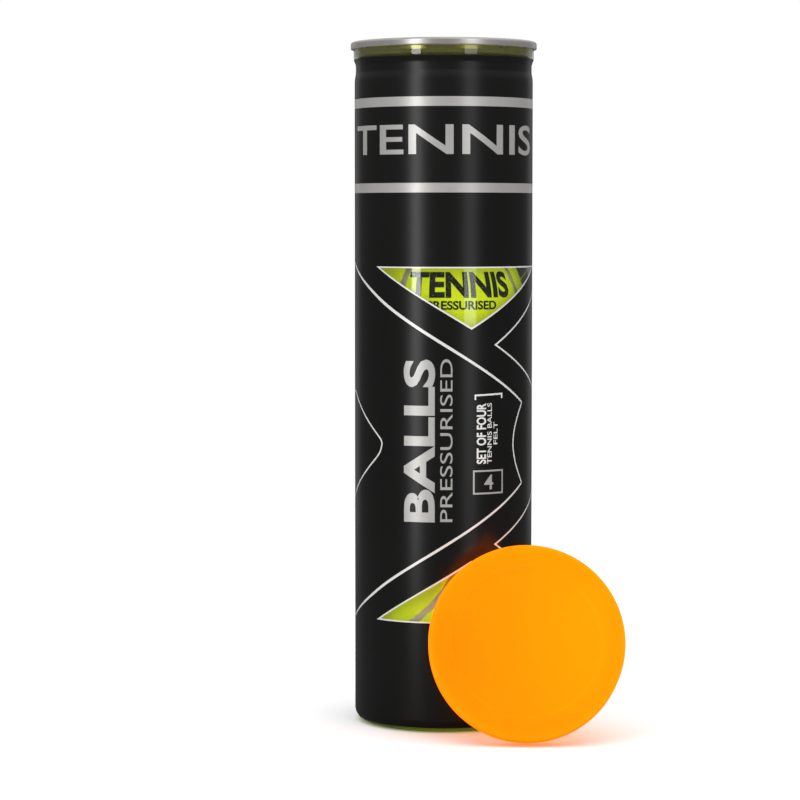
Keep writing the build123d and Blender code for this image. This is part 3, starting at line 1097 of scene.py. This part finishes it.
# %% [markdown]
# ## The ring pull
#
# A ring pull is stamped from strip, and its edges are curled under so that they don't cut a finger.
# The curl is a round bead swept along the outline and round the finger hole, and a thin web joins
# the two. The web is cut with the same flat triangulation as the film.


# %% Outline of the ring pull
CURL = 0.69 * MM
NOSE_RADIUS = 7.5 * MM
RING_RADIUS = tab_high.x
HOLE_RADIUS = 8.6 * MM
tab_mid = (tab_low.z + tab_high.z) / 2
nose_centre = nose_y + NOSE_RADIUS


def pull_outline(inset, steps=72):
    """Points round the nose and the ring, with the straight flanks between them, set in from the edge."""
    gap = ring_y - nose_centre
    lean = math.asin((RING_RADIUS - NOSE_RADIUS) / gap)
    points = []
    for step in range(steps + 1):
        angle = -lean + (math.pi + 2 * lean) * step / steps
        radius = RING_RADIUS - inset
        points.append((radius * math.cos(angle), ring_y + radius * math.sin(angle)))
    for step in range(steps + 1):
        angle = math.pi + lean + (math.pi - 2 * lean) * step / steps
        radius = NOSE_RADIUS - inset
        points.append((radius * math.cos(angle), nose_centre + radius * math.sin(angle)))
    return points


def circle(radius, centre_y, steps):
    """Points round a circle on the panel."""
    turn = 2 * math.pi / steps
    return [(radius * math.cos(turn * k), centre_y + radius * math.sin(turn * k)) for k in range(steps)]


# %% Sweep a round bead along a loop
def add_bead(points, faces, loop, height, radius, sides=14):
    """Adds a closed tube along a flat loop of (x, y) points to a mesh's lists."""
    base, count = len(points), len(loop)
    for i, (x, y) in enumerate(loop):
        ahead = Vector(loop[(i + 1) % count]) - Vector(loop[i - 1])
        outward = Vector((ahead.y, -ahead.x)).normalized()
        for side in range(sides):
            angle = 2 * math.pi * side / sides
            shift = outward * (radius * math.cos(angle))
            points.append((x + shift.x, y + shift.y, height + radius * math.sin(angle)))
    for i in range(count):
        low, high = base + i * sides, base + ((i + 1) % count) * sides
        for side in range(sides):
            after = (side + 1) % sides
            faces.append([low + side, high + side, high + after, low + after])


# %% Cut a flat web with holes
def add_web(points, faces, outer, holes, low, high):
    """Adds a flat plate with holes, from one height to another."""
    flat = [Vector(p) for p in outer]
    loops = [list(range(len(outer)))]
    for hole in holes:
        loops.append(list(range(len(flat), len(flat) + len(hole))))
        flat += [Vector(p) for p in hole]
    result = delaunay_2d_cdt(flat, [], loops, 1, 1e-9, True)
    new_points, new_faces, sources = result[0], result[2], result[5]
    for level, flip in ((high, False), (low, True)):
        base = len(points)
        points += [(p.x, p.y, level) for p in new_points]
        for face, source in zip(new_faces, sources):
            if list(source) == [0]:
                corners = [base + i for i in face]
                faces.append(corners[::-1] if flip else corners)
    for loop in [outer, *holes]:
        base = len(points)
        points += [(x, y, low) for x, y in loop] + [(x, y, high) for x, y in loop]
        count = len(loop)
        for i in range(count):
            after = (i + 1) % count
            faces.append([base + i, base + after, base + count + after, base + count + i])


# %% The ring pull
def tongue_window(growth, steps=40):
    """The cut round the tongue: a round end at the rivet and straight sides towards the nose."""
    radius = 3.6 * MM + growth
    half_strap = 2.6 * MM + growth
    front = nose_y + 2.2 * MM
    meet = math.asin(half_strap / radius)
    points = []
    for step in range(steps + 1):
        angle = -math.pi / 2 + meet + (2 * math.pi - 2 * meet) * step / steps
        points.append((radius * math.cos(angle), rivet_y + radius * math.sin(angle)))
    points += [(-half_strap, front), (half_strap, front)]
    return points


def make_ring_pull():
    """Curled outer edge, curled finger hole and the web between them."""
    points, faces = [], []
    add_bead(points, faces, pull_outline(CURL), tab_mid, CURL)
    add_bead(points, faces, circle(HOLE_RADIUS + CURL, ring_y, 96), tab_mid, CURL)
    outer = pull_outline(CURL * 1.2)
    holes = [circle(HOLE_RADIUS + CURL * 0.9, ring_y, 96), tongue_window(0.5 * MM)]
    add_web(points, faces, outer, holes, tab_mid - 0.22 * MM, tab_mid + 0.22 * MM)
    return mesh_from("ring_pull", points, faces, 40)


place("ring_pull", make_ring_pull(), "pull_tab", ["pull_tab"], [tab_metal])


# %% The tongue under the rivet
def make_tongue():
    """The flat tongue that the rivet holds down."""
    points, faces = [], []
    hole = circle(1.55 * MM, rivet_y, 40)
    low = panel_top + 0.05 * MM
    add_web(points, faces, tongue_window(-0.03 * MM), [hole], low, low + 0.28 * MM)
    return mesh_from("pull_tongue", points, faces, 40)


place("pull_tongue", make_tongue(), "tear_panel", ["tab_tongue"], [tab_metal])

# %% [markdown]
# ## The snap lid
#
# The lid is injection moulded: a thin dished disc, a rounded shoulder, and a skirt with a bead
# inside that clips under the seam. It is turned about its own axis and then set where the frame
# says it leans, which the direction of its sliding joint and the node's box give.

# %% Where the lid stands
lid_joint = next(joint for joint in frame["joints"] if joint["child"] == "lid")
lid_axis = Vector(lid_joint["axis"]).normalized()
lid_radius = (lid_high.x - lid_low.x) / 2
lid_up = Vector((0, lid_axis.z, -lid_axis.y))
lid_middle = (lid_low.x + lid_high.x) / 2
lid_centre = Vector((lid_middle, lid_high.y - lid_radius * lid_up.y, lid_radius * lid_up.z))
lid_stance = Matrix((Vector((1, 0, 0)), lid_up, lid_axis)).transposed().to_4x4()
lid_stance.translation = lid_centre
print("lid centre", [round(c, 4) for c in lid_centre])

# %% The lid
SKIRT = 10.0
bore = lid_radius / MM - 0.75
lid_outside = [
    (0, SKIRT - 0.7),
    (1.1, SKIRT - 0.7),
    (29.0, SKIRT - 0.7),
    (30.2, SKIRT),
    (lid_radius / MM, SKIRT),
    (lid_radius / MM, 0.0),
    (bore, 0.0),
    (bore, 3.5),
    (bore - 0.7, 4.1),
    (bore, 4.7),
    (bore, SKIRT - 0.9),
    (30.4, SKIRT - 0.9),
    (29.2, SKIRT - 1.6),
    (0, SKIRT - 1.6),
]
lid_rounds = [0, 0, 0.9, 0.9, 1.5, 0.3, 0.25, 0.2, 0.3, 0.2, 0.6, 0.8, 0.8, 0]
lid_outline = rounded([(r * MM, z * MM) for r, z in lid_outside], [r * MM for r in lid_rounds])
lid_mesh = turned("snap_lid", lid_outline, around=192, closed=False, place_at=lid_stance)
place("snap_lid", lid_mesh, "lid", ["lid"], [lid_plastic])

# %% [markdown]
# ## The balls
#
# A ball's cover is two dumb-bell panels of felt, and the line between them is four arcs of a circle
# on the sphere. A fine round mesh is sorted by which side of that line each point is on, and points
# near it are slid on to it, so that each panel ends in a clean curve. The line itself is a band of
# pale cement swept along the four arcs. Short fibres stand out of the felt, and the print is a thin
# skin of letters just above it.

# %% The seam line on a unit sphere
SEAM_LIFT = math.radians(17.0)
LOBES = [(-45, 1), (45, -1), (135, 1), (225, -1)]
lobes = [
    Vector(
        (
            math.cos(SEAM_LIFT) * math.cos(math.radians(azimuth)),
            math.cos(SEAM_LIFT) * math.sin(math.radians(azimuth)),
            side * math.sin(SEAM_LIFT),
        )
    )
    for azimuth, side in LOBES
]
LOBE_ANGLE = math.acos(math.cos(SEAM_LIFT) * math.cos(math.radians(45)))


def nearest_lobe(point):
    """(angle past the seam line, positive on the upper panel; the lobe that it was measured from)."""
    azimuth = math.degrees(math.atan2(point.y, point.x))
    first = int(((azimuth + 45) % 360) // 90)
    here, following = lobes[first], lobes[(first + 1) % 4]
    above = point.dot(here.cross(following)) > 0
    upper = [k for k in range(4) if LOBES[k][1] > 0]
    lower = [k for k in range(4) if LOBES[k][1] < 0]
    choices = upper if above else lower
    best = min(choices, key=lambda k: point.angle(lobes[k]))
    past = point.angle(lobes[best]) - LOBE_ANGLE
    return (past if above else -past), best


# %% One round mesh, sorted into two panels
BALL_RADIUS = (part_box("ball_3_felt_a")[1].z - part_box("ball_3_felt_a")[0].z) / 2
FELT_RADIUS = BALL_RADIUS - 0.22 * MM
SEAM_HALF = 1.3 * MM / BALL_RADIUS


def sorted_sphere(subdivisions):
    """Unit points, triangles and a side for each triangle: 1, -1, or 0 in the seam."""
    bm = bmesh.new()
    bmesh.ops.create_icosphere(bm, subdivisions=subdivisions, radius=1.0)
    near = 0.62 * math.radians(63.4) / 2 ** (subdivisions - 1)
    sides = []
    for vertex in bm.verts:
        past, lobe = nearest_lobe(vertex.co)
        target = SEAM_HALF if past > 0 else -SEAM_HALF
        if abs(past - target) < near / 2:
            axis = lobes[lobe].cross(vertex.co).normalized()
            outward = 1 if LOBES[lobe][1] > 0 else -1
            vertex.co = Matrix.Rotation(outward * (target - past), 3, axis) @ vertex.co
            past = target
        sides.append(past)
    points = [v.co.copy() for v in bm.verts]
    triangles, kinds = [], []
    for face in bm.faces:
        corners = [v.index for v in face.verts]
        mean = sum(sides[i] for i in corners) / 3
        triangles.append(corners)
        kinds.append(1 if mean > SEAM_HALF * 0.9 else -1 if mean < -SEAM_HALF * 0.9 else 0)
    bm.free()
    return points, triangles, kinds


unit_points, unit_triangles, unit_kinds = sorted_sphere(6)
print("sphere triangles", len(unit_triangles), "in the seam", unit_kinds.count(0))


# %% Fibres of the felt
FIBRE_TRIES = 7200  # spread over the whole ball, and kept where they stand on the panel
FIBRE_LENGTH = (0.5, 1.3)
FIBRE_RISE = (0.12, 0.24)
HALF_FIBRE = 0.035 * MM


def felt_fibres(generator, side):
    """Short bent slivers standing out of one panel, as points and faces."""
    points, faces = [], []
    directions = generator.normal(size=(FIBRE_TRIES, 3))
    directions /= np.linalg.norm(directions, axis=1)[:, None]
    for direction in directions:
        root = Vector(direction)
        past, _ = nearest_lobe(root)
        if past * side < SEAM_HALF * 1.1:
            continue
        lean = Vector(generator.normal(size=3))
        lean = (lean - root * lean.dot(root)).normalized()
        across = root.cross(lean)
        length = generator.uniform(*FIBRE_LENGTH) * MM
        rise = generator.uniform(*FIBRE_RISE) * MM
        start = root * (FELT_RADIUS - 0.05 * MM)
        middle = start + lean * (length * 0.5) + root * (rise * 0.8)
        tip = start + lean * length + root * rise
        base = len(points)
        points += [tuple(start + across * HALF_FIBRE), tuple(start - across * HALF_FIBRE)]
        points += [tuple(middle + across * HALF_FIBRE), tuple(middle - across * HALF_FIBRE), tuple(tip)]
        faces += [[base, base + 1, base + 3, base + 2], [base + 2, base + 3, base + 4]]
    return points, faces


# %% One felt panel
def felt_panel(name, side, stance, seed):
    """A panel with a napped face, a rounded cut edge that turns in at the seam, and its fibres."""
    keep = [t for t, kind in zip(unit_triangles, unit_kinds) if kind == side]
    used = sorted({i for t in keep for i in t})
    renumber = {old: new for new, old in enumerate(used)}
    points = []
    for old in used:
        direction = unit_points[old]
        past, _ = nearest_lobe(direction)
        edge = smooth((abs(past) - SEAM_HALF) * BALL_RADIUS / (0.55 * MM))
        nap = noise.noise(direction * 60 + Vector((seed, 0, 0))) * 0.07
        nap += noise.noise(direction * 150) * 0.05
        radius = FELT_RADIUS - (1 - edge) * 0.45 * MM + nap * MM * (0.3 + 0.7 * edge)
        points.append(direction * radius)
    faces = [[renumber[i] for i in t] for t in keep]
    count = {}
    for face in faces:
        for a, b in zip(face, face[1:] + face[:1]):
            count[(a, b)] = count.get((a, b), 0) + 1
    rim = [(a, b) for a, b in count if (b, a) not in count]
    inner = {}
    for a, _ in rim:
        inner[a] = len(points)
        points.append(points[a].normalized() * (FELT_RADIUS - 1.6 * MM))
    for a, b in rim:
        faces.append([b, a, inner[a], inner[b]])
    fibre_points, fibre_faces = felt_fibres(np.random.default_rng(seed), side)
    base = len(points)
    points = [tuple(stance @ Vector(p)) for p in points] + [tuple(stance @ Vector(p)) for p in fibre_points]
    faces += [[base + i for i in face] for face in fibre_faces]
    return mesh_from(name, points, faces, 60)


# %% The cement line
HALF_BAND = 1.38 * MM
BAND_SECTION = [
    (-1.0, -1.3), (-1.0, -0.6), (-0.75, -0.46), (-0.3, -0.37),
    (0.3, -0.37), (0.75, -0.46), (1.0, -0.6), (1.0, -1.3),
]  # (share of the half width, millimetres above the ball's radius)


def seam_path(steps=56):
    """Points along the whole seam line on a unit sphere, in order round the ball."""
    points = []
    for k, lobe in enumerate(lobes):
        start = Vector((math.cos(math.radians(90 * k - 90)), math.sin(math.radians(90 * k - 90)), 0))
        end = Vector((math.cos(math.radians(90 * k)), math.sin(math.radians(90 * k)), 0))
        a = (start - lobe * start.dot(lobe)).normalized()
        b = (end - lobe * end.dot(lobe)).normalized()
        turn = 2 * math.pi - a.angle(b)  # the long way round the lobe
        axis = lobe if LOBES[k][1] > 0 else -lobe
        for step in range(steps):
            spoke = Matrix.Rotation(-turn * step / steps, 3, axis) @ a
            points.append(lobe * math.cos(LOBE_ANGLE) + spoke * math.sin(LOBE_ANGLE))
    return points


def cement_band(name, stance):
    """A shallow rounded band along the seam line, tucked between the panels' edges."""
    path = seam_path()
    count = len(path)
    points, faces = [], []
    for i, here in enumerate(path):
        ahead = (path[(i + 1) % count] - path[i - 1]).normalized()
        across = ahead.cross(here).normalized()
        ripple = noise.noise(here * 25) * 0.05
        for share, rise in BAND_SECTION:
            offset = across * (share * HALF_BAND)
            centre = here * (BALL_RADIUS + (rise + ripple) * MM)
            points.append(tuple(stance @ (centre + offset)))
    wide = len(BAND_SECTION)
    for i in range(count):
        low, high = i * wide, ((i + 1) % count) * wide
        for k in range(wide):
            after = (k + 1) % wide
            faces.append([low + k, low + after, high + after, high + k])
    return mesh_from(name, points, faces, 50)


# %% Print on a ball
PRINT_RADIUS = FELT_RADIUS + 0.12 * MM
LONGEST_EDGE = 0.12  # in the typeface's own units, so that the letters can bend round the ball


def ball_lettering(name, words, height, stance, facing, size, bold):
    """Bold letters laid on the felt, as a thin skin just above it, facing a horizontal direction."""
    source = letter_mesh(words, bold)
    bm = bmesh.new()
    bm.from_mesh(source)
    bmesh.ops.triangulate(bm, faces=bm.faces)
    for _ in range(4):
        long_edges = [e for e in bm.edges if e.calc_length() > LONGEST_EDGE]
        if not long_edges:
            break
        bmesh.ops.subdivide_edges(bm, edges=long_edges, cuts=1)
        bmesh.ops.triangulate(bm, faces=bm.faces)
    low = Vector((min(v.co.x for v in bm.verts), min(v.co.y for v in bm.verts)))
    high = Vector((max(v.co.x for v in bm.verts), max(v.co.y for v in bm.verts)))
    for vertex in bm.verts:
        u = (vertex.co.x - (low.x + high.x) / 2) / (high.x - low.x) * size[0] / (BALL_RADIUS / MM)
        v = (vertex.co.y - (low.y + high.y) / 2) / (high.y - low.y) * size[1] + height
        v /= BALL_RADIUS / MM
        angle = math.radians(facing) + u
        direction = Vector((math.cos(v) * math.sin(angle), -math.cos(v) * math.cos(angle), math.sin(v)))
        vertex.co = stance @ (direction * PRINT_RADIUS)
    mesh = bpy.data.meshes.new(name)
    bm.to_mesh(mesh)
    bm.free()
    mesh.shade_smooth()
    bpy.data.meshes.remove(source)
    return mesh


# %% Make all four balls
ATTITUDES = [(20, 35, 50), (75, -25, 10), (28, -32, -13), (-50, 30, 65)]
PRINT_FACING = [40.0, 200.0, 14.0, -30.0]
BALL_PRINT = {
    "word": ("TENNIS", 8.6, (46.0, 11.0), 0.04),
    "line": ("PRESSURISED", 0.2, (30.0, 3.6), 0.03),
}
ball_centres = {}
for name in ball_names:
    low = min(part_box(f"{name}_{part}")[0].z for part in ("felt_a", "felt_b"))
    high = max(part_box(f"{name}_{part}")[1].z for part in ("felt_a", "felt_b"))
    ball_centres[name] = Vector((0, 0, (low + high) / 2))
print({name: round(centre.z, 4) for name, centre in ball_centres.items()})


def attitude(angles):
    """The turn that sets a ball: about X first, then the turned Y, then the turned Z."""
    turns = [Matrix.Rotation(math.radians(a), 4, axis) for a, axis in zip(angles, "XYZ")]
    return turns[0] @ turns[1] @ turns[2]


for k, name in enumerate(ball_names):
    move = Matrix.Translation(ball_centres[name])
    stance = move @ attitude(ATTITUDES[k])
    for part, side in (("felt_a", 1), ("felt_b", -1)):
        mesh = felt_panel(f"{name}_{part}_nap", side, stance, 10 * k + (side + 1))
        place(f"{name}_{part}_nap", mesh, name, [f"{name}_{part}"], [felt_nap])
    band = cement_band(f"{name}_seam", stance)
    place(f"{name}_seam", band, name, [f"{name}_cement"], [seam_cement])
    for part, (words, height, size, bold) in BALL_PRINT.items():
        mesh = ball_lettering(f"{name}_{part}", words, height, move, PRINT_FACING[k], size, bold)
        place(f"{name}_{part}", mesh, name, [], [ball_print])

# %% [markdown]
# ## Hidden pieces
#
# The rubber cups and the ring of sealing compound keep the shapes that the frame gives them, since
# nothing shows of them until the can is cut open. They only need their finishes.

# %% Finish the hidden pieces
hidden = {"sealing_compound": seal_compound}
for name in ball_names:
    hidden[f"{name}_core_lower"] = core_rubber
    hidden[f"{name}_core_upper"] = core_rubber
for node, material in hidden.items():
    mesh = frame["nodes"][node].data
    mesh.materials.clear()
    mesh.materials.append(material)
print("hidden pieces finished", len(hidden))

# %% Size of the finished object
low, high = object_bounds()
print("size", [round(h - l, 4) for l, h in zip(low, high)])
